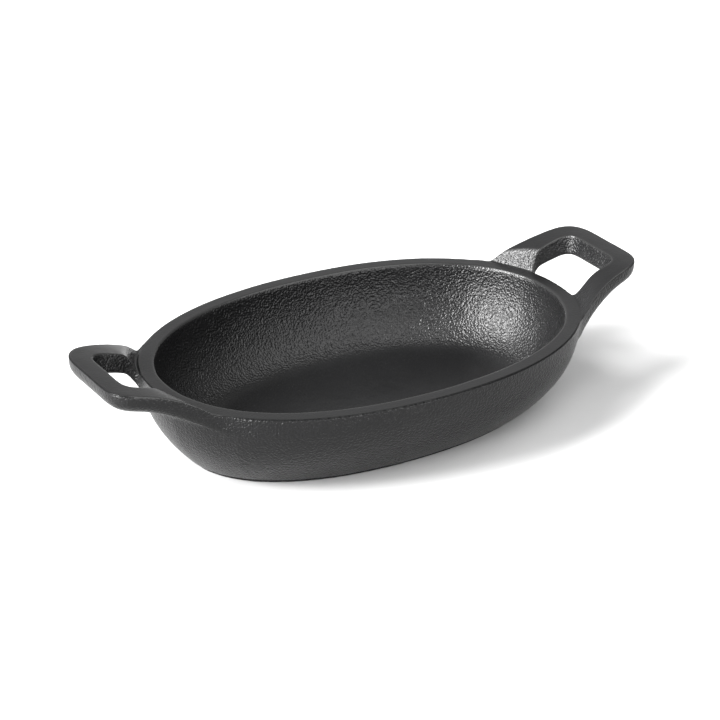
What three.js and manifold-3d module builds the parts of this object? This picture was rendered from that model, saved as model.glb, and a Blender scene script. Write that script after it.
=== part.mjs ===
// Oval casserole: one heavy sand casting with a low base pad, a deep oval bowl, a broad flat rim
// and a raised loop handle at each end. It has no lid and nothing on it moves.
// The casting is given here as its regions, each a solid of its own that meets its neighbours.
// Millimetres, +Z up, X along the bowl's length, Y across it, origin under the middle of the base.

import * as THREE from "three";
import { mergeVertices } from "three/addons/utils/BufferGeometryUtils.js";
import loadManifold from "manifold-3d";

const wasm = await loadManifold();
wasm.setup();

// Bowl, outside
const BOWL_LENGTH = 180; // across the rim, without the handles
const BOWL_WIDTH = 122;
const BOWL_HEIGHT = 35.5; // from the surface it stands on to the rim
const OVAL_POWER = 2.18; // 2 would be an ellipse, and more is squarer
const END_DRAFT = 14.4; // how far the outside draws in from rim to base, at the ends
const SIDE_DRAFT = 18.3; // and at the sides
const OUTSIDE_SWEEP = 2.38; // power of the outside curve: upright under the rim, drawn in below

// Base pad
const BASE_HEIGHT = 1.7;
const BASE_INSET = 1.7; // step from the foot of the bowl's outside to the pad's edge

// Rim
const RIM_WIDTH = 6; // flat land between the outer and the inner edge
const RIM_BAND = 6; // height of the rim region
const RIM_OUTER_BREAK = 0.6; // bevel on the outer edge
const RIM_INNER_BREAK = 0.9; // bevel on the inner edge

// Bowl, inside
const FLOOR_THICKNESS = 3.7; // above the base pad
const FLOOR_LENGTH = 118; // flat part of the floor
const FLOOR_WIDTH = 62;
const INSIDE_SWEEP = 2.1; // 2 would be a quarter ellipse from rim to floor, and more is tighter
const HEEL_RISE = 7.5; // height of the curved region above the floor

// Handles
const HANDLE_REACH = 26; // from the bowl's end to the grip's outer face
const HANDLE_RISE = 12.3; // top of the grip above the rim
const ARCH_RUN = 37.3; // from the grip's outer face back to where the top springs from the rim's level
const GRIP_LENGTH = 47; // between the sharp corners, before they are rounded
const GRIP_WIDTH = 7.7;
const GRIP_THICKNESS = 7.9;
const GRIP_CORNER = 11; // setback of the outer corners' rounding
const ROOT_DEPTH = 7.4; // underside of the arms below the rim's level, where the arch springs
const KNEE_OUT = 4.3; // the arms begin to spread this far beyond the bowl's end
const KNEE_WIDTH = 52; // across the arms' outer edges there
const KNEE_SETBACK = 7; // rounding of that bend
const ROOT_WIDTH = 64; // across the arms' outer edges where they meet the rim
const HOLE_GRIP_WIDTH = 32; // finger gap beside the grip
const HOLE_RIM_WIDTH = 32; // finger gap where the arms meet the rim
const HOLE_CORNER = 6.5; // setback of the gap's rounding beside the grip
const ROOT_LEAN = 7; // how far the arms' inner ends lean out between the rim's level and the grip's top

// Fits and fineness
const SEAM = 0.3; // clearance between an arm's end and the rim and wall that it grows from
const OVAL_STEPS = 72;
const HEEL_STEPS = 8;
const WALL_STEPS = 5;
const HANDLE_STEPS = 8;

// Places that follow from the sizes above
const floorTop = BASE_HEIGHT + FLOOR_THICKNESS;
const heelTop = floorTop + HEEL_RISE;
const rimBottom = BOWL_HEIGHT - RIM_BAND;
const gripOuter = BOWL_LENGTH / 2 + HANDLE_REACH;
const gripInner = gripOuter - GRIP_WIDTH;
const gripTop = BOWL_HEIGHT + HANDLE_RISE;
const archSpring = gripOuter - ARCH_RUN;

/** A cast-iron finish of its own for one region. */
function castIron(color, roughness) {
  return new THREE.MeshStandardMaterial({ color, roughness, metalness: 0.55 });
}

/** Coordinate of an oval along one axis, from the cosine or sine of the turn. */
function ovalReach(half, ratio) {
  return half * Math.sign(ratio) * Math.abs(ratio) ** (2 / OVAL_POWER);
}

/** Half the rim's outside length at a distance from the long axis. */
function rimReachAt(y) {
  const across = Math.abs(y) / (BOWL_WIDTH / 2);
  return (BOWL_LENGTH / 2) * (1 - across ** OVAL_POWER) ** (1 / OVAL_POWER);
}

/** An oval ring at a height, drawn in from the rim's outside by a share of the draft and by an inset. */
function ring(height, inset, draftShare = 0) {
  return {
    height,
    halfLength: BOWL_LENGTH / 2 - END_DRAFT * draftShare - inset,
    halfWidth: BOWL_WIDTH / 2 - SIDE_DRAFT * draftShare - inset,
  };
}

/** The middle of a level, where a profile starts or ends. */
function centre(height) {
  return { height, halfLength: 0, halfWidth: 0 };
}

/** How far down a height lies between the rim, 0, and a lower level, 1. */
function shareDown(height, lowest) {
  return THREE.MathUtils.clamp((BOWL_HEIGHT - height) / (BOWL_HEIGHT - lowest), 0, 1);
}

/** The bowl's outside at a height, moved in by an inset. */
function outside(height, inset = 0) {
  return ring(height, inset, shareDown(height, BASE_HEIGHT) ** OUTSIDE_SWEEP);
}

/** The bowl's inside at a height: upright at the rim and level where it reaches the floor. */
function inside(height) {
  const outward = (1 - shareDown(height, floorTop) ** INSIDE_SWEEP) ** (1 / INSIDE_SWEEP);
  const rimEdge = ring(height, RIM_WIDTH);
  return {
    height,
    halfLength: THREE.MathUtils.lerp(FLOOR_LENGTH / 2, rimEdge.halfLength, outward),
    halfWidth: THREE.MathUtils.lerp(FLOOR_WIDTH / 2, rimEdge.halfWidth, outward),
  };
}

/** Rings of one side of the bowl between two heights, closer together low down where it curves most. */
function climb(side, low, high, steps) {
  const rings = [];
  for (let step = 0; step <= steps; step += 1) {
    rings.push(side(low + (high - low) * (step / steps) ** 2));
  }
  return rings;
}

/** A turned solid whose rings are ovals, from a profile that runs up its outside first. */
function ovalSolid(profile) {
  const outline = profile.map((level) => new THREE.Vector2(level.halfLength, level.height));
  const geometry = new THREE.LatheGeometry(outline, OVAL_STEPS);
  const position = geometry.getAttribute("position");
  for (let index = 0; index < position.count; index += 1) {
    const level = profile[index % profile.length];
    const turn = (2 * Math.PI * Math.floor(index / profile.length)) / OVAL_STEPS;
    const x = ovalReach(level.halfLength, Math.cos(turn));
    const y = ovalReach(level.halfWidth, Math.sin(turn));
    position.setXYZ(index, x, y, level.height);
  }
  geometry.computeVertexNormals();
  return geometry;
}

/** An oval ring solid between an outside and an inside run of rings. */
function ovalRing(outer, inner) {
  const profile = [...outer, ...inner.toReversed()];
  return ovalSolid([...profile, profile[0]]);
}

/** A closed geometry as a solid that can be cut, without the collapsed triangles on its axis. */
function toSolid(geometry) {
  geometry.deleteAttribute("normal");
  geometry.deleteAttribute("uv");
  const merged = mergeVertices(geometry);
  const corners = merged.index.array;
  const triangles = [];
  for (let index = 0; index < corners.length; index += 3) {
    const [a, b, c] = corners.slice(index, index + 3);
    if (a !== b && b !== c && c !== a) triangles.push(a, b, c);
  }
  return new wasm.Manifold(
    new wasm.Mesh({
      numProp: 3,
      vertProperties: new Float32Array(merged.getAttribute("position").array),
      triVerts: new Uint32Array(triangles),
    }),
  );
}

/** A cut solid as a geometry again. */
function toGeometry(solid) {
  const mesh = solid.getMesh();
  const geometry = new THREE.BufferGeometry();
  geometry.setAttribute("position", new THREE.BufferAttribute(mesh.vertProperties, 3));
  geometry.setIndex(new THREE.BufferAttribute(mesh.triVerts, 1));
  geometry.computeVertexNormals();
  return geometry;
}

/** Everything in front of the long axis, as a block. */
function frontHalf() {
  const block = new THREE.BoxGeometry(4 * gripOuter, BOWL_WIDTH, 4 * gripTop);
  return block.translate(0, -BOWL_WIDTH / 2, 0);
}

/** A closed plan outline through corners, each rounded by a curve that starts its setback away. */
function roundedOutline(corners) {
  const outline = new THREE.Shape();
  corners.forEach(({ at, setback = 0 }, index) => {
    const before = corners.at(index - 1).at;
    const after = corners[(index + 1) % corners.length].at;
    const enter = before.clone().sub(at).setLength(setback).add(at);
    const leave = after.clone().sub(at).setLength(setback).add(at);
    if (index === 0) outline.moveTo(enter.x, enter.y);
    else outline.lineTo(enter.x, enter.y);
    if (setback > 0) outline.quadraticCurveTo(at.x, at.y, leave.x, leave.y);
  });
  outline.closePath();
  return outline;
}

/** One half of a handle outline and its mirror across the long axis, in order round the outline. */
function bothSides(corners, end) {
  const place = (corner, flip) => ({ ...corner, at: new THREE.Vector2(end * corner.x, flip * corner.y) });
  return [
    ...corners.map((corner) => place(corner, 1)),
    ...corners.toReversed().map((corner) => place(corner, -1)),
  ];
}

/** The handle seen from above: arms that spread towards the bowl, a rounded grip and the finger gap. */
function handlePlan(end) {
  const knee = new THREE.Vector2(BOWL_LENGTH / 2 + KNEE_OUT, KNEE_WIDTH / 2);
  const root = new THREE.Vector2(rimReachAt(ROOT_WIDTH / 2), ROOT_WIDTH / 2);
  const buriedRoot = root.clone().multiplyScalar(2).sub(knee);
  const holeCorner = new THREE.Vector2(gripInner, HOLE_GRIP_WIDTH / 2);
  const holeRoot = new THREE.Vector2(rimReachAt(HOLE_RIM_WIDTH / 2), HOLE_RIM_WIDTH / 2);
  const buriedHole = holeRoot.clone().multiplyScalar(2).sub(holeCorner);
  const outer = [
    { x: 0, y: buriedRoot.y },
    { x: buriedRoot.x, y: buriedRoot.y },
    { x: knee.x, y: knee.y, setback: KNEE_SETBACK },
    { x: gripOuter, y: GRIP_LENGTH / 2, setback: GRIP_CORNER },
  ];
  const hole = [
    { x: buriedHole.x, y: buriedHole.y },
    { x: holeCorner.x, y: holeCorner.y, setback: HOLE_CORNER },
  ];
  const plan = roundedOutline(bothSides(outer, end));
  plan.holes.push(roundedOutline(bothSides(hole, end).toReversed()));
  return new THREE.ExtrudeGeometry(plan, {
    depth: 2 * gripTop,
    bevelEnabled: false,
    curveSegments: HANDLE_STEPS,
  });
}

/** The handle seen from the side: a band that springs from the rim and levels off at the grip. */
function handleArch(end) {
  const bend = end * (gripOuter - ARCH_RUN / 2);
  const underside = gripTop - GRIP_THICKNESS;
  const arch = new THREE.Shape();
  arch.moveTo(end * gripOuter, gripTop);
  arch.quadraticCurveTo(bend, gripTop, end * archSpring, BOWL_HEIGHT);
  arch.lineTo(end * archSpring, BOWL_HEIGHT - ROOT_DEPTH);
  arch.quadraticCurveTo(bend, underside, end * gripOuter, underside);
  arch.closePath();
  const geometry = new THREE.ExtrudeGeometry(arch, {
    depth: BOWL_WIDTH,
    bevelEnabled: false,
    curveSegments: HANDLE_STEPS,
  });
  return geometry.rotateX(Math.PI / 2).translate(0, BOWL_WIDTH / 2, 0);
}

/** What the bowl leaves free for the handles: its outside with the seam, flaring open above the rim. */
function bowlClearance() {
  const rings = [
    ...climb(outside, BASE_HEIGHT, heelTop, HEEL_STEPS),
    ...climb(outside, heelTop, rimBottom, WALL_STEPS).slice(1),
    outside(BOWL_HEIGHT),
    ring(gripTop, -ROOT_LEAN),
  ];
  const grown = rings.map((level) => ({
    height: level.height,
    halfLength: level.halfLength + SEAM,
    halfWidth: level.halfWidth + SEAM,
  }));
  return ovalSolid([centre(BASE_HEIGHT), ...grown, centre(gripTop)]);
}

/** A named region of the casting. */
function region(name, geometry, material) {
  const mesh = new THREE.Mesh(geometry, material);
  mesh.name = name;
  return mesh;
}

/** The bowl's five regions, from the base pad up to the rim. */
function makeBowl() {
  const bowl = new THREE.Group();

  const padEdge = outside(BASE_HEIGHT, BASE_INSET);
  const padFoot = { ...padEdge, height: 0 };
  const pad = ovalSolid([centre(0), padFoot, padEdge, centre(BASE_HEIGHT)]);
  bowl.add(region("base_pad", pad, castIron(0x222222, 0.7)));

  const floorEdge = inside(floorTop);
  const floorFoot = { ...floorEdge, height: BASE_HEIGHT };
  const floor = ovalSolid([centre(BASE_HEIGHT), floorFoot, floorEdge, centre(floorTop)]);
  bowl.add(region("bowl_floor", floor, castIron(0x2b2b2b, 0.6)));

  const heelOutside = climb(outside, BASE_HEIGHT, heelTop, HEEL_STEPS);
  const heelInside = climb(inside, floorTop, heelTop, HEEL_STEPS);
  const heel = ovalRing(heelOutside, [floorFoot, ...heelInside]);
  bowl.add(region("bowl_heel", heel, castIron(0x2d2d2d, 0.6)));

  const wallOutside = climb(outside, heelTop, rimBottom, WALL_STEPS);
  const wallInside = climb(inside, heelTop, rimBottom, WALL_STEPS);
  const wall = ovalRing(wallOutside, wallInside);
  bowl.add(region("bowl_wall", wall, castIron(0x303030, 0.58)));

  const rimOutside = [
    outside(rimBottom),
    outside(BOWL_HEIGHT - RIM_OUTER_BREAK),
    ring(BOWL_HEIGHT, RIM_OUTER_BREAK),
  ];
  const rimInside = [
    inside(rimBottom),
    inside(BOWL_HEIGHT - RIM_INNER_BREAK),
    ring(BOWL_HEIGHT, RIM_WIDTH - RIM_INNER_BREAK),
  ];
  const rim = ovalRing(rimOutside, rimInside);
  bowl.add(region("bowl_rim", rim, castIron(0x3a3a3a, 0.55)));
  return bowl;
}

/** The grip's share of a handle seen from above: a wedge between the mitres through its two corners. */
function gripWedge(end) {
  const slope = (2 * GRIP_WIDTH) / (GRIP_LENGTH - HOLE_GRIP_WIDTH);
  const apex = gripInner - (slope * HOLE_GRIP_WIDTH) / 2;
  const far = apex + slope * BOWL_WIDTH;
  const wedge = new THREE.Shape();
  wedge.moveTo(end * apex, 0);
  wedge.lineTo(end * far, BOWL_WIDTH);
  wedge.lineTo(end * far, -BOWL_WIDTH);
  wedge.closePath();
  return new THREE.ExtrudeGeometry(wedge, { depth: 2 * gripTop, bevelEnabled: false });
}

/** One loop handle: a grip and two arms that grow out of the rim. */
function makeHandle(side, end) {
  const loop = toSolid(handlePlan(end))
    .intersect(toSolid(handleArch(end)))
    .subtract(toSolid(bowlClearance()));
  const wedge = toSolid(gripWedge(end));
  const handle = new THREE.Group();
  handle.add(region(`${side}_grip`, toGeometry(loop.intersect(wedge)), castIron(0x3c3c3c, 0.55)));

  const arms = loop.subtract(wedge);
  const front = toSolid(frontHalf());
  handle.add(region(`${side}_front_arm`, toGeometry(arms.intersect(front)), castIron(0x3b3b3b, 0.55)));
  handle.add(region(`${side}_rear_arm`, toGeometry(arms.subtract(front)), castIron(0x3b3b3b, 0.55)));
  return handle;
}

const casserole = new THREE.Group();
casserole.add(makeBowl());
casserole.add(makeHandle("left", -1));
casserole.add(makeHandle("right", 1));

export default casserole;
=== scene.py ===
"""The oval casserole's visual model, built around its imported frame.

The casserole is one heavy iron casting. One continuous surface carries the base pad, the bowl,
the rim and both loop handles, and it stands for all the regions of the frame. Sizes are in
metres, X runs along the bowl, Y across it, and the bowl stands on the floor at Z = 0.
"""

import logging
import math
from collections.abc import Sequence
from dataclasses import dataclass, field
from enum import Enum
from itertools import pairwise

import bmesh
import bpy
import numpy as np
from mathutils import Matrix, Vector, noise


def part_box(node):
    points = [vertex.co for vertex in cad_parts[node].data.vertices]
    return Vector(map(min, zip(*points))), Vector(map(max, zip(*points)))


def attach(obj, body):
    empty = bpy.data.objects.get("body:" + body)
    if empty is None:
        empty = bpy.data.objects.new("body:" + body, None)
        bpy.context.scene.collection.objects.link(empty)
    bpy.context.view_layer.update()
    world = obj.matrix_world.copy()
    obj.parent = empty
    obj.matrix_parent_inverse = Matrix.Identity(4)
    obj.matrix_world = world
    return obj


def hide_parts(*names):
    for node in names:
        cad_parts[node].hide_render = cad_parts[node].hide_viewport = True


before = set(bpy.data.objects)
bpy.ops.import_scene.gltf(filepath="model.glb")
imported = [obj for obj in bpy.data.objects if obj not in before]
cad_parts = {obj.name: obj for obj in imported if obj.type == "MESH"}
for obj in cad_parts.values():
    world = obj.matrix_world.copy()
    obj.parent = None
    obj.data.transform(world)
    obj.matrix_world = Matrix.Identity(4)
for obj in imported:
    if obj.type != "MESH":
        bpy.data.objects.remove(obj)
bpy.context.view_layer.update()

MM = 0.001
BODY = "root"
Colour = tuple[float, float, float]
Span = tuple[float, float]
log = logging.getLogger("casserole")


class End(Enum):
    """The ends of the bowl that carry a handle, by the sign of X."""

    LEFT = -1
    RIGHT = 1


class Side(Enum):
    """The two arms of a handle, by the sign of Y."""

    FRONT = -1
    REAR = 1


def between(low: float, high: float, share: float) -> float:
    """Value at a share of the way from low to high."""
    return low + (high - low) * share


def clamp(value: float) -> float:
    """The value, held between 0 and 1."""
    return min(max(value, 0.0), 1.0)


def soft_min(first: float, second: float, width: float) -> float:
    """The lesser of two values, with the bend between them rounded over a width."""
    share = clamp(0.5 + 0.5 * (second - first) / width)
    return between(second, first, share) - width * share * (1 - share)


def curve(start: Vector, middle: Vector, stop: Vector, share: float) -> Vector:
    """Point on the curve that leaves start towards middle and reaches stop from there."""
    return start.lerp(middle, share).lerp(middle.lerp(stop, share), share)


def raised(place: Vector, height: float) -> Vector:
    """A place in plan, at a height."""
    return Vector((place.x, place.y, height))


def direction(azimuth: float, elevation: float) -> Vector:
    """Direction to a place round the object, in degrees from the front and above the floor."""
    turn, rise = math.radians(azimuth), math.radians(elevation)
    return Vector((math.sin(turn) * math.cos(rise), -math.cos(turn) * math.cos(rise), math.sin(rise)))


def read_surface(mesh: bpy.types.Mesh) -> tuple[np.ndarray, np.ndarray]:
    """Read where a mesh's vertices are and which way they face.

    Args:
        mesh: The mesh.

    Returns:
        The places and the normals, a row for each vertex.
    """
    places = np.empty(3 * len(mesh.vertices))
    mesh.vertices.foreach_get("co", places)
    normals = np.array([tuple(normal.vector) for normal in mesh.vertex_normals])
    return places.reshape(-1, 3), normals


@dataclass(frozen=True)
class Oval:
    """A level oval, a little squarer than an ellipse."""

    half_length: float
    half_width: float
    power: float

    def drawn_in(self, inset: float) -> "Oval":
        """The oval moved in by the same distance all round."""
        return Oval(self.half_length - inset, self.half_width - inset, self.power)

    def scaled(self, share: float) -> "Oval":
        """The oval at a share of its size."""
        return Oval(self.half_length * share, self.half_width * share, self.power)

    def towards(self, other: "Oval", share: float) -> "Oval":
        """An oval a share of the way to another one.

        Args:
            other: The other oval.
            share: 0 for this oval and 1 for the other.

        Returns:
            The oval between them.
        """
        half_length = between(self.half_length, other.half_length, share)
        half_width = between(self.half_width, other.half_width, share)
        return Oval(half_length, half_width, self.power)

    def point(self, turn: float) -> Vector:
        """Point of the oval.

        Args:
            turn: The turn from its right end.

        Returns:
            The point, in plan.
        """
        cosine, sine = math.cos(turn), math.sin(turn)
        x = math.copysign(abs(cosine) ** (2 / self.power), cosine) * self.half_length
        y = math.copysign(abs(sine) ** (2 / self.power), sine) * self.half_width
        return Vector((x, y))

    def turn_at(self, y: float) -> float:
        """Turn, in the first quarter, of the point at a distance from the long axis."""
        return math.asin((y / self.half_width) ** (self.power / 2))

    def heading(self, turn: float) -> Vector:
        """Direction along the oval at a turn in the first quarter, towards its right end."""
        step = 1e-4
        return (self.point(turn - step) - self.point(turn + step)).normalized()

    def beyond(self, place: Vector) -> float:
        """How far a place lies outside the oval.

        Args:
            place: A place in plan.

        Returns:
            The distance, negative inside the oval.
        """
        along = abs(place.x) / self.half_length
        across = abs(place.y) / self.half_width
        level = (along**self.power + across**self.power) ** (1 / self.power)
        slope_x = (along / level) ** (self.power - 1) / self.half_length
        slope_y = (across / level) ** (self.power - 1) / self.half_width
        return (level - 1) / math.hypot(slope_x, slope_y)


@dataclass(frozen=True)
class Bowl:
    """Sizes of the oval bowl, and its outside and inside surfaces."""

    rim: Oval
    pad: Oval
    floor: Oval
    height: float
    pad_height: float
    floor_height: float
    pad_inset: float = 1.7 * MM
    outside_sweep: float = 2.38
    inside_sweep: float = 2.1
    rim_width: float = 6.0 * MM

    @classmethod
    def from_frame(cls, power: float = 2.18) -> "Bowl":
        """The bowl with its main sizes read from the frame.

        Args:
            power: How square the ovals are.

        Returns:
            The bowl.
        """
        rim_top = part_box("bowl_rim")[1]
        pad_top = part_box("base_pad")[1]
        floor_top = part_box("bowl_floor")[1]
        return cls(
            rim=Oval(rim_top.x, rim_top.y, power),
            pad=Oval(pad_top.x, pad_top.y, power),
            floor=Oval(floor_top.x, floor_top.y, power),
            height=rim_top.z,
            pad_height=pad_top.z,
            floor_height=floor_top.z,
        )

    def outside(self, height: float) -> Oval:
        """The outside surface, upright under the rim and drawn in towards the base.

        Args:
            height: A height above the floor.

        Returns:
            The oval there.
        """
        down = (self.height - height) / (self.height - self.pad_height)
        foot = self.pad.drawn_in(-self.pad_inset)
        return self.rim.towards(foot, max(down, 0.0) ** self.outside_sweep)

    def inside(self, phase: float) -> tuple[float, Oval]:
        """The inside surface, upright at the rim and level where it reaches the floor.

        Args:
            phase: 0 at the rim and 1 at the floor.

        Returns:
            The height and the oval there.
        """
        bend = phase * math.pi / 2
        down = math.sin(bend) ** (2 / self.inside_sweep)
        outward = math.cos(bend) ** (2 / self.inside_sweep)
        mouth = self.rim.drawn_in(self.rim_width)
        return between(self.height, self.floor_height, down), self.floor.towards(mouth, outward)


@dataclass(frozen=True)
class RootClimb:
    """How an arm's top climbs out of a groove beside the rim and bends into the handle's arch."""

    start: float
    slope: float
    blend: float
    groove: float

    def height(self, beyond: float, arch: float) -> float:
        """Height above the rim, from the distance beyond the rim and the arch's height there."""
        ramp = (beyond - self.start) * self.slope
        return max(soft_min(arch, ramp, self.blend), -min(self.groove, arch))


@dataclass(frozen=True)
class Handle:
    """Sizes of a raised loop handle. Its curves are given for the right end's rear arm."""

    bowl: Bowl
    reach: float
    top_height: float
    spring: float
    root_height: float
    grip_width: float = 7.7 * MM
    grip_length: float = 47.0 * MM
    grip_thickness: float = 7.9 * MM
    grip_corner: float = 11.0 * MM
    knee_out: float = 4.3 * MM
    knee_width: float = 52.0 * MM
    hole_rim_width: float = 32.0 * MM
    hole_grip_width: float = 32.0 * MM
    hole_corner: float = 6.5 * MM
    hole_root_corner: float = 5.0 * MM
    hole_root_share: float = 0.3
    flare_width: float = 72.0 * MM
    flare_sweep: float = 28.0 * MM
    front_climb: RootClimb = RootClimb(start=0.3 * MM, slope=1.35, blend=4.0 * MM, groove=0.2 * MM)
    rear_climb: RootClimb = RootClimb(start=1.5 * MM, slope=2.7, blend=3.2 * MM, groove=0.6 * MM)
    web_reach: float = 5.5 * MM
    web_fade: float = 1.5

    @classmethod
    def from_frame(cls, bowl: Bowl) -> "Handle":
        """The handle with its main sizes read from the frame.

        Args:
            bowl: The bowl that the handle grows from.

        Returns:
            The handle.
        """
        grip_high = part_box("right_grip")[1]
        arm_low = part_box("right_rear_arm")[0]
        return cls(
            bowl=bowl,
            reach=grip_high.x,
            top_height=grip_high.z,
            spring=arm_low.x,
            root_height=arm_low.z,
        )

    def root_width(self) -> float:
        """Width of one arm's root, measured across the bowl."""
        return (self.flare_width - self.hole_rim_width) / 2

    def back(self, x: float) -> float:
        """How far back from the grip's outer face a place lies, 1 where the arch springs."""
        return clamp((self.reach - x) / (self.reach - self.spring))

    def top(self, place: Vector, side: Side) -> float:
        """Height of the handle's top.

        Args:
            place: A place in plan.
            side: The arm that it lies on.

        Returns:
            The height.
        """
        arch = (self.top_height - self.bowl.height) * (1 - self.back(place.x) ** 2)
        climb = self.front_climb if side is Side.FRONT else self.rear_climb
        return self.bowl.height + climb.height(self.bowl.rim.beyond(place), arch)

    def underside(self, place: Vector, web: float) -> float:
        """Height of the handle's underside, deepest where the arch springs.

        Args:
            place: A place in plan.
            web: Share of the web that joins the arm to the wall, 1 at the finger gap and 0 outside.

        Returns:
            The height.
        """
        at_grip = self.top_height - self.grip_thickness
        arch = between(at_grip, self.root_height, self.back(place.x) ** 2)
        near = 1 - max(self.bowl.rim.beyond(place), 0.0) / self.web_reach
        return between(arch, self.root_height, web * max(near, 0.0) ** self.web_fade)

    def corner(self, sharp: Vector, before: Vector, setback: float, share: float) -> Vector:
        """Point on a rounded corner of the loop, which turns there to run along the grip.

        Args:
            sharp: The corner before it is rounded.
            before: A place on the edge that leads to it.
            setback: Where the rounding starts, from the corner.
            share: 0 where the rounding starts and 1 where it ends.

        Returns:
            The point.
        """
        start = sharp + (before - sharp).normalized() * setback
        stop = sharp - Vector((0.0, setback))
        return curve(start, sharp, stop, share)

    def inner_turn(self) -> float:
        """Turn of the place on the rim where the finger gap's rounded corner begins."""
        return self.bowl.rim.turn_at(self.hole_rim_width / 2 - self.hole_root_corner)

    def outer_turn(self) -> float:
        """Turn of the place on the rim where the arm's outer edge parts from it."""
        return self.bowl.rim.turn_at(self.flare_width / 2)

    def hole_root(self) -> Vector:
        """The finger gap's corner on the rim, before it is rounded."""
        return self.bowl.rim.point(self.bowl.rim.turn_at(self.hole_rim_width / 2))

    def inner_corner(self, share: float) -> Vector:
        """Point on the finger gap's rounded corner beside the grip."""
        sharp = Vector((self.reach - self.grip_width, self.hole_grip_width / 2))
        return self.corner(sharp, self.hole_root(), self.hole_corner, share)

    def outer_corner(self, share: float) -> Vector:
        """Point on the loop's rounded outer corner.

        Args:
            share: 0 where the rounding starts and 1 where it ends.

        Returns:
            The point.
        """
        sharp = Vector((self.reach, self.grip_length / 2))
        knee = Vector((self.bowl.rim.half_length + self.knee_out, self.knee_width / 2))
        return self.corner(sharp, knee, self.grip_corner, share)

    def inner_edge(self, share: float) -> Vector:
        """Point on the edge beside the finger gap, which rounds out of the rim and runs straight on.

        Args:
            share: 0 at the rim and 1 where the corner beside the grip starts.

        Returns:
            The point.
        """
        begin = self.bowl.rim.point(self.inner_turn())
        sharp, stop = self.hole_root(), self.inner_corner(0.0)
        rounded = sharp + (stop - sharp).normalized() * self.hole_root_corner
        if share > self.hole_root_share:
            return rounded.lerp(stop, (share - self.hole_root_share) / (1 - self.hole_root_share))
        return curve(begin, sharp, rounded, share / self.hole_root_share)

    def outer_edge(self, share: float) -> Vector:
        """Point on the outer edge, which parts from the rim along it and sweeps round to the corner.

        Args:
            share: 0 at the rim and 1 where the corner's rounding starts.

        Returns:
            The point.
        """
        step = 0.01
        start, stop = self.bowl.rim.point(self.outer_turn()), self.outer_corner(0.0)
        leave = self.bowl.rim.heading(self.outer_turn())
        arrive = (self.outer_corner(step) - stop).normalized()
        near = start + leave * (self.flare_sweep / 3)
        far = stop - arrive * (self.flare_sweep / 3)
        return curve(start, near, far, share).lerp(curve(near, far, stop, share), share)


class Cage:
    """A cage of four-sided faces for a smooth surface, collected piece by piece."""

    def __init__(self) -> None:
        """Start with nothing."""
        self.points: list[Vector] = []
        self.faces: list[tuple[int, ...]] = []

    def add(self, points: Sequence[Vector]) -> list[int]:
        """Add points.

        Args:
            points: The points.

        Returns:
            Their numbers.
        """
        first = len(self.points)
        self.points.extend(points)
        return list(range(first, len(self.points)))

    def bridge(
        self, lower: Sequence[int], upper: Sequence[int], skip: frozenset[int] = frozenset()
    ) -> None:
        """Join two closed runs of points with a band of faces.

        Args:
            lower: One run.
            upper: The other run, with as many points.
            skip: Numbers of the faces to leave out.
        """
        count = len(lower)
        for here in range(count):
            there = (here + 1) % count
            if here not in skip:
                self.faces.append((lower[here], lower[there], upper[there], upper[here]))

    def cover(self, ring: Sequence[int], corner: int) -> None:
        """Close an oval run of points with a grid of faces.

        Args:
            ring: The run, from its right end round by its rear.
            corner: Point of the run where the grid has its first corner.
        """
        half = len(ring) // 2
        columns, rows = 2 * (half // 2 - corner), 2 * corner
        grid = [[0] * (rows + 1) for _ in range(columns + 1)]
        for column in range(columns + 1):
            grid[column][0] = ring[-corner - column]
            grid[column][rows] = ring[corner + column]
        for row in range(rows + 1):
            grid[0][row] = ring[row - corner]
            grid[columns][row] = ring[half + corner - row]
        for column in range(1, columns):
            for row in range(1, rows):
                grid[column][row] = self.add([self.spread(grid, column, row)])[0]
        for near, far in pairwise(grid):
            for row in range(rows):
                self.faces.append((near[row], far[row], far[row + 1], near[row + 1]))

    def grid_point(self, grid: list[list[int]], column: int, row: int) -> Vector:
        """The point at a column and a row of a grid."""
        return self.points[grid[column][row]]

    def spread(self, grid: list[list[int]], column: int, row: int) -> Vector:
        """Place inside a grid, worked out from the grid's four sides.

        Args:
            grid: Numbers of the points, with the sides filled in.
            column: The place's column.
            row: The place's row.

        Returns:
            The place.
        """
        along, across = column / (len(grid) - 1), row / (len(grid[0]) - 1)
        ends = self.grid_point(grid, 0, row).lerp(self.grid_point(grid, -1, row), along)
        flanks = self.grid_point(grid, column, 0).lerp(self.grid_point(grid, column, -1), across)
        front = self.grid_point(grid, 0, 0).lerp(self.grid_point(grid, -1, 0), along)
        rear = self.grid_point(grid, 0, -1).lerp(self.grid_point(grid, -1, -1), along)
        return ends + flanks - front.lerp(rear, across)

    def to_object(self, name: str, levels: int) -> bpy.types.Object:
        """The cage as a smooth closed mesh.

        Args:
            name: Name of the object.
            levels: How often each face is split in four and smoothed.

        Returns:
            The object, linked to the scene.
        """
        rough = bpy.data.meshes.new(name + ".cage")
        rough.from_pydata(self.points, [], self.faces)
        work = bmesh.new()
        work.from_mesh(rough)
        bmesh.ops.recalc_face_normals(work, faces=work.faces)
        open_edges = sum(not edge.is_manifold for edge in work.edges)
        log.info("%s cage: %d faces, %d open edges", name, len(work.faces), open_edges)
        work.to_mesh(rough)
        work.free()
        piece = bpy.data.objects.new(name, rough)
        bpy.context.scene.collection.objects.link(piece)
        smoother = piece.modifiers.new("smooth", "SUBSURF")
        smoother.levels = smoother.render_levels = levels
        depsgraph = bpy.context.evaluated_depsgraph_get()
        smooth = bpy.data.meshes.new_from_object(piece.evaluated_get(depsgraph))
        piece.modifiers.clear()
        piece.data = smooth
        smooth.name = name
        bpy.data.meshes.remove(rough)
        smooth.shade_smooth()
        return piece


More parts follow.
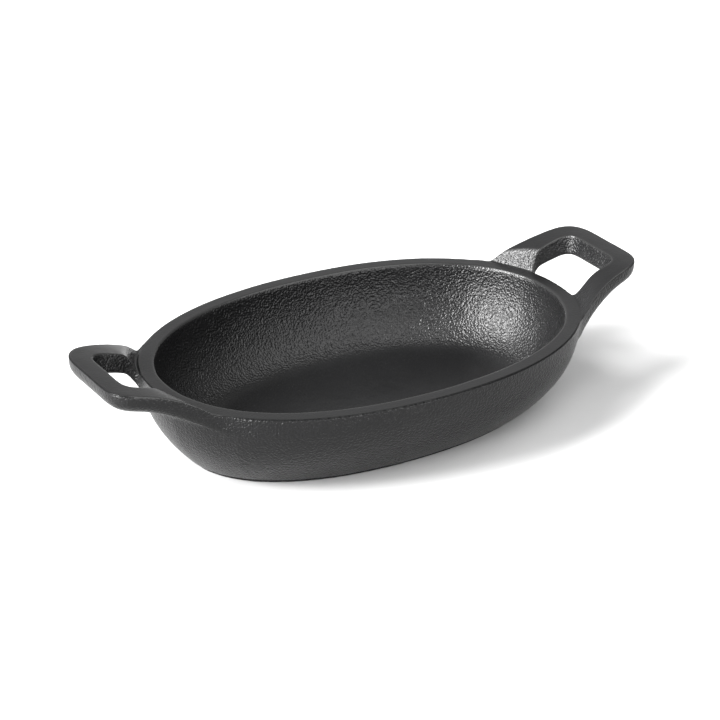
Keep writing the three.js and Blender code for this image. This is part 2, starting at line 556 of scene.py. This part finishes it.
@dataclass(frozen=True)
class CastSkin:
    """The slight unevenness of a sand casting, as real displacement of its surface."""

    wave: float = 16.0 * MM
    wave_depth: float = 0.10 * MM
    pit: float = 3.5 * MM
    pit_depth: float = 0.035 * MM
    settle: float = 2.0 * MM

    def apply(self, piece: bpy.types.Object) -> None:
        """Move the surface in and out along its normals, but not where it stands on the floor.

        Args:
            piece: The mesh object to make uneven.
        """
        mesh = piece.data
        places, normals = read_surface(mesh)
        lift = np.array([self.lift(Vector(place)) for place in places])
        mesh.vertices.foreach_set("co", (places + normals * lift[:, None]).ravel())
        mesh.update()

    def lift(self, place: Vector) -> float:
        """How far the surface stands proud.

        Args:
            place: A place on the surface.

        Returns:
            The distance, negative in a hollow.
        """
        wave = noise.noise(place / self.wave) * self.wave_depth
        pit = noise.noise(place / self.pit) * self.pit_depth
        return (wave + pit) * clamp(place.z / self.settle)


@dataclass(frozen=True)
class EdgeMap:
    """Marks the outer edges of a mesh with values up to 1 and its creases with values down to -1."""

    name: str = "edge"
    radius: float = 1.6 * MM

    def apply(self, piece: bpy.types.Object) -> None:
        """Work out how sharply the surface bends at each vertex and keep it with the mesh.

        Args:
            piece: The mesh object to mark.
        """
        mesh = piece.data
        places, normals = read_surface(mesh)
        ends = np.empty(2 * len(mesh.edges), dtype=np.int64)
        mesh.edges.foreach_get("vertices", ends)
        pairs = ends.reshape(-1, 2)
        here = np.concatenate([pairs[:, 0], pairs[:, 1]])
        there = np.concatenate([pairs[:, 1], pairs[:, 0]])
        step = places[there] - places[here]
        fall = -2 * (normals[here] * step).sum(axis=1) / (step**2).sum(axis=1)
        count = np.bincount(here)
        bend = np.clip(np.bincount(here, weights=fall) / count * self.radius, -1.0, 1.0)
        smooth = (bend + np.bincount(here, weights=bend[there]) / count) / 2
        mesh.attributes.new(self.name, "FLOAT", "POINT").data.foreach_set("value", smooth)


class Signal:
    """A value in a material's node tree, which takes part in sums as a number does."""

    def __init__(self, tree: "Tree", socket: bpy.types.NodeSocket) -> None:
        """Wrap one output socket of a tree."""
        self.tree = tree
        self.socket = socket

    def __add__(self, other: "Signal | float") -> "Signal":
        """Sum."""
        return self.tree.math("ADD", self, other)

    __radd__ = __add__

    def __sub__(self, other: "Signal | float") -> "Signal":
        """Difference."""
        return self.tree.math("SUBTRACT", self, other)

    def __rsub__(self, other: "Signal | float") -> "Signal":
        """Difference from a number."""
        return self.tree.math("SUBTRACT", other, self)

    def __mul__(self, other: "Signal | float") -> "Signal":
        """Product."""
        return self.tree.math("MULTIPLY", self, other)

    __rmul__ = __mul__


class Tree:
    """A material's node tree."""

    def __init__(self, name: str) -> None:
        """Make a material with an empty node tree.

        Args:
            name: Name of the material.
        """
        self.material = bpy.data.materials.new(name)
        self.material.use_nodes = True
        self.tree = self.material.node_tree
        self.tree.nodes.clear()

    def node(
        self, kind: str, settings: dict | None = None, sockets: dict | None = None
    ) -> bpy.types.Node:
        """Add a node.

        Args:
            kind: The node's type.
            settings: Its settings, set first.
            sockets: Values or links of its inputs, by name or number.

        Returns:
            The node.
        """
        made = self.tree.nodes.new(kind)
        for name, value in (settings or {}).items():
            setattr(made, name, value)
        for key, value in (sockets or {}).items():
            self.feed(made.inputs[key], value)
        return made

    def feed(self, socket: bpy.types.NodeSocket, value: "Signal | Colour | float") -> None:
        """Link a signal to an input, or set the input's own value.

        Args:
            socket: The input.
            value: A signal, a colour or a number.
        """
        if isinstance(value, Signal):
            self.tree.links.new(value.socket, socket)
        elif isinstance(value, tuple):
            socket.default_value = (*value, 1.0)
        else:
            socket.default_value = value

    def signal(
        self, kind: str, output: str, settings: dict | None = None, sockets: dict | None = None
    ) -> Signal:
        """Add a node and take one of its outputs."""
        return Signal(self, self.node(kind, settings, sockets).outputs[output])

    def math(self, operation: str, first: Signal | float, second: Signal | float) -> Signal:
        """Add a Math node."""
        return self.signal("ShaderNodeMath", "Value", {"operation": operation}, {0: first, 1: second})

    def noise(self, place: Signal, size: float, layers: float) -> Signal:
        """Soft noise from 0 to 1, with blots of a size and a number of finer layers."""
        sockets = {"Vector": place, "Scale": 1 / size, "Detail": layers}
        return self.signal("ShaderNodeTexNoise", "Fac", sockets=sockets)

    def rise(self, value: Signal, span: Span) -> Signal:
        """Smooth step of a value, 0 up to a span's start and 1 from its end on."""
        sockets = {"Value": value, "From Min": span[0], "From Max": span[1]}
        return self.signal("ShaderNodeMapRange", "Result", {"interpolation_type": "SMOOTHSTEP"}, sockets)

    def upright(self, vector: Signal) -> Signal:
        """The upright part of a vector."""
        return self.signal("ShaderNodeSeparateXYZ", "Z", sockets={"Vector": vector})

    def mix(self, share: Signal, first: Colour | Signal, second: Colour | Signal) -> Signal:
        """Mix two colours.

        Args:
            share: 0 for the first and 1 for the second.
            first: A colour, or a link that carries one.
            second: The other colour.

        Returns:
            The mixed colour.
        """
        node = self.node("ShaderNodeMix", {"data_type": "RGBA"})
        for name, value in (("Factor_Float", share), ("A_Color", first), ("B_Color", second)):
            socket = next(one for one in node.inputs if one.identifier == name)
            self.feed(socket, value)
        return Signal(self, next(one for one in node.outputs if one.identifier == "Result_Color"))

    def surface(
        self,
        colour: Colour | Signal,
        roughness: Signal | float,
        gloss: float,
        normal: Signal | None = None,
    ) -> Signal:
        """Add the shader of an opaque surface.

        Args:
            colour: Its colour.
            roughness: How rough it is.
            gloss: How strongly it mirrors.
            normal: Its fine relief, where it has one.

        Returns:
            The shader.
        """
        sockets = {"Base Color": colour, "Roughness": roughness, "Specular IOR Level": gloss}
        if normal is not None:
            sockets["Normal"] = normal
        return self.signal("ShaderNodeBsdfPrincipled", "BSDF", sockets=sockets)

    def show(self, shader: Signal) -> bpy.types.Material:
        """Link a shader to the material's output and return the material."""
        self.node("ShaderNodeOutputMaterial", sockets={"Surface": shader})
        return self.material


@dataclass(frozen=True)
class SeasonedIron:
    """Black seasoned cast iron: a pebbled sand-cast grain, pale wear along its edges, a dull dark line of
    painted shade along its outer edges and painted shade in its creases.
    """

    edges: EdgeMap
    rim_height: float
    dark: Colour = (0.0014, 0.0014, 0.0015)
    pale: Colour = (0.0032, 0.0032, 0.0033)
    worn: Colour = (0.0070, 0.0070, 0.0070)
    roughness: float = 0.29
    roughness_spread: float = 0.08
    gloss: float = 0.17
    pebble_size: float = 0.95 * MM
    pebble_blend: float = 0.5
    pebble_relief: float = 0.3
    sand_size: float = 0.76 * MM
    sand_layers: float = 0.8
    sand_relief: float = 0.9
    sand_tint: float = 0.4
    dust_size: float = 0.2375 * MM
    dust_layers: float = 2.0
    patch_size: float = 24.0 * MM
    patch_layers: float = 3.0
    patch_tint: float = 0.6
    grain_depth: float = 0.44 * MM
    edge_smoothing: float = 0.7
    level_smoothing: float = 0.88
    outside_smoothing: float = 0.15
    edge_wear: float = 1.6
    edge_polish: float = 0.06
    # painted shade: a dull dark line laid over the outer edges stands in for the shade and dark reflection
    # there
    edge_painted_shade: float = 0.8
    painted_shade_least: float = 0.5
    painted_shade_roughness: float = 0.6
    painted_shade_gloss: float = 0.02
    painted_shade_edge: Span = (0.2, 0.6)
    painted_shade_side: Span = (0.5, 0.8)
    outside_side: Span = (-0.1, 0.3)
    level_face: Span = (0.88, 0.99)
    topside_face: Span = (0.45, 0.85)
    topside_drop: Span = (2.0 * MM, 1.0 * MM)

    def outward(self, tree: Tree, place: Signal, facing: Signal) -> Signal:
        """How far the surface faces away from the middle of the bowl.

        Args:
            tree: The material's tree.
            place: Where on the piece.
            facing: The surface's normal.

        Returns:
            The signal, from -1 to 1.
        """
        away = tree.signal("ShaderNodeVectorMath", "Vector", {"operation": "NORMALIZE"}, {0: place})
        settings = {"operation": "DOT_PRODUCT"}
        return tree.signal("ShaderNodeVectorMath", "Value", settings, {0: facing, 1: away})

    def level(self, tree: Tree, place: Signal, facing: Signal) -> Signal:
        """Mask of the floor, the rim's land and the handles' tops.

        Args:
            tree: The material's tree.
            place: Where on the piece.
            facing: The surface's normal.

        Returns:
            The mask.
        """
        upward = tree.upright(facing)
        low, high = (self.rim_height - drop for drop in self.topside_drop)
        topside = tree.rise(tree.upright(place), (low, high)) * tree.rise(upward, self.topside_face)
        return tree.math("MAXIMUM", topside, tree.rise(upward, self.level_face))

    def relief(self, tree: Tree, place: Signal, sand: Signal) -> Signal:
        """Height of the grain before it is worn.

        Args:
            tree: The material's tree.
            place: Where on the piece.
            sand: The noise of the sand.

        Returns:
            The height, about 0 to 1.
        """
        sockets = {"Vector": place, "Scale": 1 / self.pebble_size, "Smoothness": self.pebble_blend}
        pebbles = tree.signal("ShaderNodeTexVoronoi", "Distance", {"feature": "SMOOTH_F1"}, sockets)
        return (1 - pebbles) * self.pebble_relief + sand * self.sand_relief

    def material(self) -> bpy.types.Material:
        """Make the material.

        Returns:
            The material.
        """
        tree = Tree("seasoned_iron")
        place = tree.signal("ShaderNodeTexCoord", "Object")
        facing = tree.signal("ShaderNodeNewGeometry", "Normal")
        edge = tree.signal("ShaderNodeAttribute", "Fac", {"attribute_name": self.edges.name})
        wear = tree.math("MAXIMUM", edge, 0.0)
        # painted shade: where the surface bends inward, in the creases, the colour is darkened
        painted_crease_shade = tree.math("MAXIMUM", 0.0 - edge, 0.0)
        patches = tree.noise(place, self.patch_size, self.patch_layers)
        sand = tree.noise(place, self.sand_size, self.sand_layers)
        dust = tree.noise(place, self.dust_size, self.dust_layers)
        outward = self.outward(tree, place, facing)
        outside = tree.rise(outward, self.outside_side)
        height = self.relief(tree, place, sand) * (1 - wear * self.edge_smoothing)
        height = height * (1 - self.level(tree, place, facing) * self.level_smoothing)
        height = height * (1 - outside * self.outside_smoothing)
        sockets = {"Distance": self.grain_depth, "Height": height}
        normal = tree.signal("ShaderNodeBump", "Normal", sockets=sockets)
        # the mottled tone, less the painted shade in the creases
        tint = patches * self.patch_tint + sand * self.sand_tint - painted_crease_shade
        mottled = tree.mix(tint, self.dark, self.pale)
        colour = tree.mix(wear * dust * self.edge_wear, mottled, self.worn)
        roughness = (patches - 0.5) * self.roughness_spread + self.roughness - wear * self.edge_polish
        iron = tree.surface(colour, roughness, self.gloss, normal)
        # painted shade: a dark, barely glossy surface mixed in along the outer edges, made irregular by the
        # sand noise
        painted_shade = tree.surface(self.dark, self.painted_shade_roughness, self.painted_shade_gloss, normal)
        outer_edge = tree.rise(edge, self.painted_shade_edge) * tree.rise(outward, self.painted_shade_side)
        painted_shaded = outer_edge * (sand + self.painted_shade_least) * self.edge_painted_shade
        return tree.show(tree.signal("ShaderNodeMixShader", "Shader", sockets={0: painted_shaded, 1: iron, 2: painted_shade}))


@dataclass
class Casting:
    """The whole casting: its cage, its smooth mesh, its uneven cast skin and its finish."""

    bowl: Bowl
    handle: Handle
    skin: CastSkin = CastSkin()
    edges: EdgeMap = EdgeMap()
    hole_steps: int = 4
    root_steps: int = 5
    side_steps: int = 12
    wall_steps: int = 6
    wall_crowding: float = 1.3
    inside_steps: int = 9
    base_shares: tuple[float, ...] = (0.55, 0.8)
    floor_shares: tuple[float, ...] = (0.82, 0.62)
    arm_shares: tuple[float, ...] = (0.06, 0.13, 0.2, 0.28, 0.37, 0.5, 0.72, 1.0)
    corner_shares: tuple[float, ...] = (0.25, 0.5, 0.75, 1.0)
    grip_shares: tuple[float, ...] = (0.5, 1.0)
    middle_shares: tuple[float, ...] = (0.36, 0.64)
    rim_edge: float = 0.9 * MM
    mouth_edge: float = 1.3 * MM
    pad_edge: float = 0.5 * MM
    foot_edge: float = 0.7 * MM
    arm_top_edge: float = 0.9 * MM
    arm_low_edge: float = 3.3 * MM
    arm_inner_edge: float = 1.0 * MM
    arm_draft: float = 1.3 * MM
    root_fillet: float = 1.6 * MM
    levels: int = 2
    rings: list[list[int]] = field(default_factory=list)
    cage: Cage = field(default_factory=Cage)

    def quarter_turns(self) -> list[float]:
        """Stations from the right end round to the rear side.

        Returns:
            Their turns, without the last one.
        """
        hole, flare = self.handle.inner_turn(), self.handle.outer_turn()
        before = [hole * step / self.hole_steps for step in range(self.hole_steps)]
        root = [between(hole, flare, share) for share in self.across_shares(0.0)[:-1]]
        after = [between(flare, math.pi / 2, step / self.side_steps) for step in range(self.side_steps)]
        return [*before, *root, *after]

    def turns(self) -> list[float]:
        """All the stations, once round the bowl.

        Returns:
            Their turns.
        """
        quarter = self.quarter_turns()
        mirrored = [math.pi - turn for turn in reversed(quarter[1:])]
        half = [*quarter, math.pi / 2, *mirrored]
        return [*half, *(math.pi + turn for turn in half)]

    def root_stations(self, end: End, side: Side) -> list[int]:
        """Stations under one arm's root.

        Args:
            end: The handle's end of the bowl.
            side: The arm's side.

        Returns:
            Their numbers, from the finger gap outwards.
        """
        half = 2 * len(self.quarter_turns())
        steps = range(self.hole_steps, self.hole_steps + self.root_steps + 1)
        start = 0 if end is End.RIGHT else half
        way = end.value * side.value
        return [(start + way * step) % (2 * half) for step in steps]

    def root_faces(self) -> frozenset[int]:
        """Faces of the outside that the four arms' roots take the place of.

        Returns:
            Their numbers in a band.
        """
        faces: set[int] = set()
        for end in End:
            for side in Side:
                stations = self.root_stations(end, side)
                faces.update(min(pair) for pair in pairwise(stations))
        return frozenset(faces)

    def add_level_run(self, height: float, oval: Oval) -> None:
        """Add one level run of points round the bowl, on an oval."""
        self.rings.append(self.cage.add([raised(oval.point(turn), height) for turn in self.turns()]))

    def add_outside_run(self, heights: Sequence[float]) -> None:
        """Add one run of points on the bowl's outside, with a height for each station."""
        stations = zip(self.turns(), heights)
        points = [raised(self.bowl.outside(height).point(turn), height) for turn, height in stations]
        self.rings.append(self.cage.add(points))

    def add_foot(self) -> None:
        """Add the runs of the base pad and of the step up to the bowl's foot."""
        bowl, pad = self.bowl, self.bowl.pad
        for share in self.base_shares:
            self.add_level_run(0.0, pad.scaled(share))
        self.add_level_run(0.0, pad.drawn_in(self.pad_edge))
        for height in (0.0, self.pad_edge, bowl.pad_height - self.pad_edge, bowl.pad_height):
            self.add_level_run(height, pad)
        self.add_level_run(bowl.pad_height, pad.drawn_in(self.foot_edge - bowl.pad_inset))
        for height in (bowl.pad_height, bowl.pad_height + self.foot_edge):
            self.add_level_run(height, bowl.outside(height))

    def root_levels(self) -> list[list[float]]:
        """Runs on the outside at the arms' roots, from below the underside up to the rim.

        Returns:
            Their heights at each station.
        """
        bowl, handle = self.bowl, self.handle
        levels = []
        for turn in self.turns():
            place = bowl.rim.point(turn)
            web = 1 - clamp((abs(place.y) - handle.hole_rim_width / 2) / handle.root_width())
            low = handle.underside(Vector((abs(place.x), place.y)), web)
            third = (bowl.height - low) / 3
            low_edge = low + min(self.arm_low_edge, third)
            top_edge = bowl.height - min(self.arm_top_edge, third)
            levels.append((low - self.root_fillet, low, low_edge, top_edge, bowl.height))
        return [list(run) for run in zip(*levels)]

    def add_outside(self) -> tuple[int, int]:
        """Add the runs of the bowl's outside.

        Returns:
            Numbers of the runs at the arms' underside and at the rim's outer edge.
        """
        band = self.root_levels()
        foot = self.bowl.pad_height + self.foot_edge
        for step in range(1, self.wall_steps):
            share = (step / self.wall_steps) ** self.wall_crowding
            self.add_outside_run([between(foot, level, share) for level in band[0]])
        first = len(self.rings)
        for run in band:
            self.add_outside_run(run)
        return first + 1, len(self.rings) - 1

    def add_inside(self) -> None:
        """Add the runs of the rim's land, the inside wall and the floor."""
        bowl, width = self.bowl, self.bowl.rim_width
        for inset in (self.rim_edge, width / 2, width - self.mouth_edge, width):
            self.add_level_run(bowl.height, bowl.rim.drawn_in(inset))
        first = self.mouth_edge / (bowl.height - bowl.floor_height)
        for step in range(self.inside_steps + 1):
            self.add_level_run(*bowl.inside(between(first, 1.0, step / self.inside_steps)))
        for share in self.floor_shares:
            self.add_level_run(bowl.floor_height, bowl.floor.scaled(share))

    def section(self, row: Sequence[Vector], share: float, side: Side) -> list[Vector]:
        """One closed run round a handle's arm or grip.

        Args:
            row: Places across the arm in plan, from the finger gap outwards.
            share: How far along the arm the section lies, 1 from the corner on.
            side: The arm that it belongs to.

        Returns:
            The points: over the top, down the outside, back underneath and up the inside.
        """
        handle = self.handle
        steps = [step / self.root_steps for step in range(self.root_steps + 1)]
        tops = [handle.top(place, side) for place in row]
        lows = [handle.underside(place, 1 - step) for place, step in zip(row, steps)]
        across = (row[-1] - row[0]).normalized()
        inner_low = row[0] - across * (self.arm_draft * share)
        outer_low = row[-1] - across * (self.arm_low_edge * share)
        evened = [inner_low.lerp(outer_low, step) for step in steps]
        under = [place.lerp(even, share) for place, even in zip(row, evened)]
        over = [raised(place, height) for place, height in zip(row, tops)]
        below = [raised(place, height) for place, height in zip(under, lows)]
        inner_third = (tops[0] - lows[0]) / 3
        outer_third = (tops[-1] - lows[-1]) / 3
        outer = [
            raised(row[-1], tops[-1] - min(self.arm_top_edge, outer_third)),
            raised(row[-1], lows[-1] + min(self.arm_low_edge, outer_third)),
        ]
        inner = [
            raised(inner_low, lows[0] + min(self.arm_inner_edge, inner_third)),
            raised(row[0], tops[0] - min(self.arm_top_edge, inner_third)),
        ]
        return [*over, *outer, *reversed(below), *inner]

    def across_shares(self, share: float) -> list[float]:
        """Shares across an arm, with the first and last steps close to its edges."""
        edge = self.arm_top_edge / between(self.handle.root_width(), self.handle.grip_width, share)
        return [0.0, edge, *self.middle_shares, 1 - edge, 1.0]

    def arm_row(self, root: Sequence[Vector], share: float) -> list[Vector]:
        """Places across the arm between its root on the rim and the corner.

        Args:
            root: Places of the root, on the rim.
            share: How far along the arm, from 0 to 1.

        Returns:
            The places, from the finger gap outwards.
        """
        handle = self.handle
        inner, outer = handle.inner_edge(share), handle.outer_edge(share)
        inner_stop, outer_stop = handle.inner_corner(0.0), handle.outer_corner(0.0)
        places = []
        for across, place in zip(self.across_shares(share), root):
            stop = inner_stop.lerp(outer_stop, across)
            corners = root[0].lerp(inner_stop, share).lerp(root[-1].lerp(outer_stop, share), across)
            places.append(place.lerp(stop, share) + inner.lerp(outer, across) - corners)
        return places

    def loop_sections(self, side: Side) -> list[list[Vector]]:
        """Sections of one half of a handle, from beside the rim to the middle of the grip.

        Args:
            side: The half's side.

        Returns:
            The sections, placed as on the right end's rear half.
        """
        handle, rim = self.handle, self.bowl.rim
        turns = self.quarter_turns()[self.hole_steps : self.hole_steps + self.root_steps + 1]
        root = [rim.point(turn) for turn in turns]
        sections = [self.section(self.arm_row(root, share), share, side) for share in self.arm_shares]
        edges = [(handle.inner_corner(share), handle.outer_corner(share)) for share in self.corner_shares]
        inner_start, outer_start = edges[-1]
        for share in self.grip_shares:
            inner = Vector((inner_start.x, inner_start.y * (1 - share)))
            outer = Vector((outer_start.x, outer_start.y * (1 - share)))
            edges.append((inner, outer))
        for inner, outer in edges:
            row = [inner.lerp(outer, across) for across in self.across_shares(1.0)]
            sections.append(self.section(row, 1.0, side))
        return sections

    def root_run(self, end: End, side: Side, underside: int, rim_edge: int) -> list[int]:
        """The run on the bowl's outside that an arm grows from, in a section's order.

        Args:
            end: The handle's end of the bowl.
            side: The arm's side.
            underside: Number of the run at the arms' underside.
            rim_edge: Number of the run at the rim's outer edge.

        Returns:
            Numbers of the points.
        """
        stations = self.root_stations(end, side)
        flank = range(rim_edge - 1, underside, -1)
        over = [self.rings[rim_edge][station] for station in stations]
        outer = [self.rings[run][stations[-1]] for run in flank]
        below = [self.rings[underside][station] for station in reversed(stations)]
        inner = [self.rings[run][stations[0]] for run in reversed(flank)]
        return [*over, *outer, *below, *inner]

    def add_handle(self, end: End, underside: int, rim_edge: int) -> None:
        """Grow one loop handle out of its two roots.

        Args:
            end: The handle's end of the bowl.
            underside: Number of the run at the arms' underside.
            rim_edge: Number of the run at the rim's outer edge.
        """
        halves = {side: self.loop_sections(side) for side in Side}
        middle = self.cage.add([Vector((end.value * p.x, p.y, p.z)) for p in halves[Side.REAR][-1]])
        for side, half in halves.items():
            runs = [self.root_run(end, side, underside, rim_edge)]
            for points in half[:-1]:
                placed = [Vector((end.value * p.x, side.value * p.y, p.z)) for p in points]
                runs.append(self.cage.add(placed))
            for lower, upper in pairwise([*runs, middle]):
                self.cage.bridge(lower, upper)

    def build(self) -> bpy.types.Object:
        """Build the casting as one closed mesh.

        Returns:
            The object.
        """
        self.add_foot()
        underside, rim_edge = self.add_outside()
        self.add_inside()
        roots = self.root_faces()
        for number, (lower, upper) in enumerate(pairwise(self.rings)):
            skip = roots if underside <= number < rim_edge else frozenset()
            self.cage.bridge(lower, upper, skip)
        corner = self.hole_steps + self.root_steps
        self.cage.cover(self.rings[0], corner)
        self.cage.cover(self.rings[-1], corner)
        for end in End:
            self.add_handle(end, underside, rim_edge)
        return self.cage.to_object("casting", self.levels)

    def dress(self, piece: bpy.types.Object) -> None:
        """Give the casting its uneven skin and its finish.

        Args:
            piece: The casting's smooth mesh object.
        """
        self.skin.apply(piece)
        self.edges.apply(piece)
        piece.data.materials.append(SeasonedIron(self.edges, self.bowl.height).material())


@dataclass(frozen=True)
class PaleFloor:
    """The plain pale surface that the casserole stands on."""

    colour: Colour = (0.24, 0.24, 0.24)
    roughness: float = 0.8
    gloss: float = 0.2
    half_size: float = 20.0

    def build(self) -> bpy.types.Object:
        """Make the floor.

        Returns:
            The floor object.
        """
        size = self.half_size
        mesh = bpy.data.meshes.new("floor")
        corners = [(-size, -size, 0.0), (size, -size, 0.0), (size, size, 0.0), (-size, size, 0.0)]
        mesh.from_pydata(corners, [], [(0, 1, 2, 3)])
        floor = bpy.data.objects.new("floor", mesh)
        bpy.context.scene.collection.objects.link(floor)
        tree = Tree("pale_floor")
        mesh.materials.append(tree.show(tree.surface(self.colour, self.roughness, self.gloss)))
        return floor


@dataclass(frozen=True)
class SoftLight:
    """One broad distant lamp, which lights the whole floor alike. Its angles are in degrees."""

    name: str
    azimuth: float
    elevation: float
    spread: float
    strength: float

    def build(self) -> None:
        """Make the lamp."""
        lamp = bpy.data.lights.new(self.name, "SUN")
        lamp.angle = math.radians(self.spread)
        lamp.energy = self.strength
        placed = bpy.data.objects.new(self.name, lamp)
        towards = direction(self.azimuth, self.elevation)
        placed.rotation_euler = towards.to_track_quat("Z", "Y").to_euler()
        bpy.context.scene.collection.objects.link(placed)


@dataclass(frozen=True)
class Studio:
    """The camera, the lamps and the white sky over a plain pale floor."""

    view_azimuth: float = -31.59
    view_elevation: float = 25.98
    view_distance: float = 959.3 * MM
    view_target: tuple[float, float, float] = (24.6 * MM, 42.75 * MM, 0.0)
    lens: float = 117.72
    sensor: float = 36.0
    nearest: float = 10.0 * MM
    sky: float = 0.88
    lights: tuple[SoftLight, ...] = (
        SoftLight("key_light", azimuth=-98.0, elevation=37.0, spread=24.0, strength=16.0),
        SoftLight("left_light", azimuth=-95.0, elevation=12.0, spread=26.0, strength=9.5),
        SoftLight("near_left_light", azimuth=-68.0, elevation=10.0, spread=28.0, strength=8.2),
        SoftLight("over_left_light", azimuth=-120.0, elevation=56.0, spread=30.0, strength=5.5),
        SoftLight("over_right_light", azimuth=36.0, elevation=64.0, spread=50.0, strength=3.6),
        SoftLight("front_light", azimuth=6.0, elevation=12.0, spread=44.0, strength=4.6),
    )

    def add_sky(self) -> None:
        """Make the even white sky."""
        world = bpy.data.worlds.new("studio")
        world.use_nodes = True
        background = world.node_tree.nodes["Background"]
        background.inputs["Color"].default_value = (1.0, 1.0, 1.0, 1.0)
        background.inputs["Strength"].default_value = self.sky
        bpy.context.scene.world = world

    def add_camera(self) -> None:
        """Make the camera that has the photograph's view."""
        optics = bpy.data.cameras.new("camera")
        optics.lens = self.lens
        optics.sensor_width = self.sensor
        optics.clip_start = self.nearest
        camera = bpy.data.objects.new("camera", optics)
        back = direction(self.view_azimuth, self.view_elevation)
        camera.location = Vector(self.view_target) + back * self.view_distance
        camera.rotation_euler = back.to_track_quat("Z", "Y").to_euler()
        bpy.context.scene.collection.objects.link(camera)
        bpy.context.scene.camera = camera

    def build(self) -> None:
        """Make the floor, the lamps, the sky and the camera."""
        PaleFloor().build()
        for light in self.lights:
            light.build()
        self.add_sky()
        self.add_camera()
        bpy.context.scene.view_settings.view_transform = "Standard"


def main() -> None:
    """Build the casting, dress it and set it in the studio."""
    logging.basicConfig(level=logging.INFO, format="%(name)s: %(message)s")
    bowl = Bowl.from_frame()
    casserole = Casting(bowl, Handle.from_frame(bowl))
    casting = casserole.build()
    casserole.dress(casting)
    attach(casting, BODY)
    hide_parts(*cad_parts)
    log.info("%s: %d faces", casting.name, len(casting.data.polygons))
    Studio().build()


if __name__ == "__main__":
    main()
